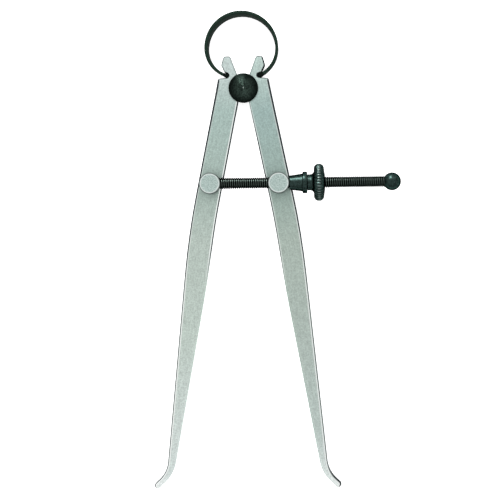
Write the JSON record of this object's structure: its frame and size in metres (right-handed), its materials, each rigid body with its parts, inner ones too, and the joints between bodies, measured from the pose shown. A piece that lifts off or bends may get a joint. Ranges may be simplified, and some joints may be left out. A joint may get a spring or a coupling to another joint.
{
  "type": "inside caliper",
  "caption": "Spring-type inside caliper with flat legs and outward-bent feet, set by a knurled nut on a threaded rod that works against a bow spring.",
  "frame": {"origin": "axis of the fulcrum stud, at the flush riveted end on the back", "axes": "+Y from the feet towards the bow spring, +Z towards the front, +X along the adjusting screw towards its ball"},
  "size_m": [0.0937, 0.179, 0.0154],
  "materials": {
    "ground_steel": "surface ground, satin",
    "turned_steel": "turned and polished",
    "black_steel": "turned, black oxide",
    "spring_steel": "rolled strip, hardened and tempered to a dark oxide"
  },
  "bodies": {
    "left_leg": {"left_leg": "ground_steel"},
    "right_leg": {"right_leg": "ground_steel"},
    "fulcrum": {"fulcrum_stud": "black_steel", "fulcrum_washer": "black_steel"},
    "spring": {"bow_spring": "spring_steel"},
    "screw": {"adjusting_screw": "black_steel", "ball_end": "black_steel", "left_post": "turned_steel", "left_post_washer": "turned_steel"},
    "right_post": {"right_post": "turned_steel", "right_post_washer": "turned_steel"},
    "nut": {"nut_sleeve": "black_steel", "knurled_nut": "black_steel"}
  },
  "joints": [
    {"name": "leg_opening", "type": "hinge", "parent": "left_leg", "child": "right_leg", "pos_m": [0, 0, 0], "axis": [0, 0, 1], "range_deg": [-21, 37], "deforming": ["bow_spring"]},
    {"name": "fulcrum_turn", "type": "hinge", "parent": "left_leg", "child": "fulcrum", "pos_m": [0, 0, 0], "axis": [0, 0, 1], "range_deg": [-10.5, 18.5]},
    {"name": "spring_turn", "type": "hinge", "parent": "left_leg", "child": "spring", "pos_m": [0, 0, 0], "axis": [0, 0, 1], "range_deg": [-10.5, 18.5]},
    {"name": "screw_swivel", "type": "hinge", "parent": "left_leg", "child": "screw", "pos_m": [-0.01286, -0.03575, 0], "axis": [0, 0, 1], "range_deg": [-10.5, 18.5]},
    {"name": "right_post_swivel", "type": "hinge", "parent": "right_leg", "child": "right_post", "pos_m": [0.01286, -0.03575, 0], "axis": [0, 0, 1], "range_deg": [-18.5, 10.5]},
    {"name": "nut_spin", "type": "hinge", "parent": "right_post", "child": "nut", "pos_m": [0.01286, -0.03575, 0.0085], "axis": [1, 0, 0], "range_deg": [-6000, 10600]}
  ],
  "couplings": [
    {"joint": "fulcrum_turn", "follows": "leg_opening", "ratio": 0.5},
    {"joint": "spring_turn", "follows": "leg_opening", "ratio": 0.5},
    {"joint": "screw_swivel", "follows": "leg_opening", "ratio": 0.5},
    {"joint": "right_post_swivel", "follows": "leg_opening", "ratio": -0.5},
    {"joint": "nut_spin", "follows": "leg_opening", "ratio": 283.02}
  ]
}
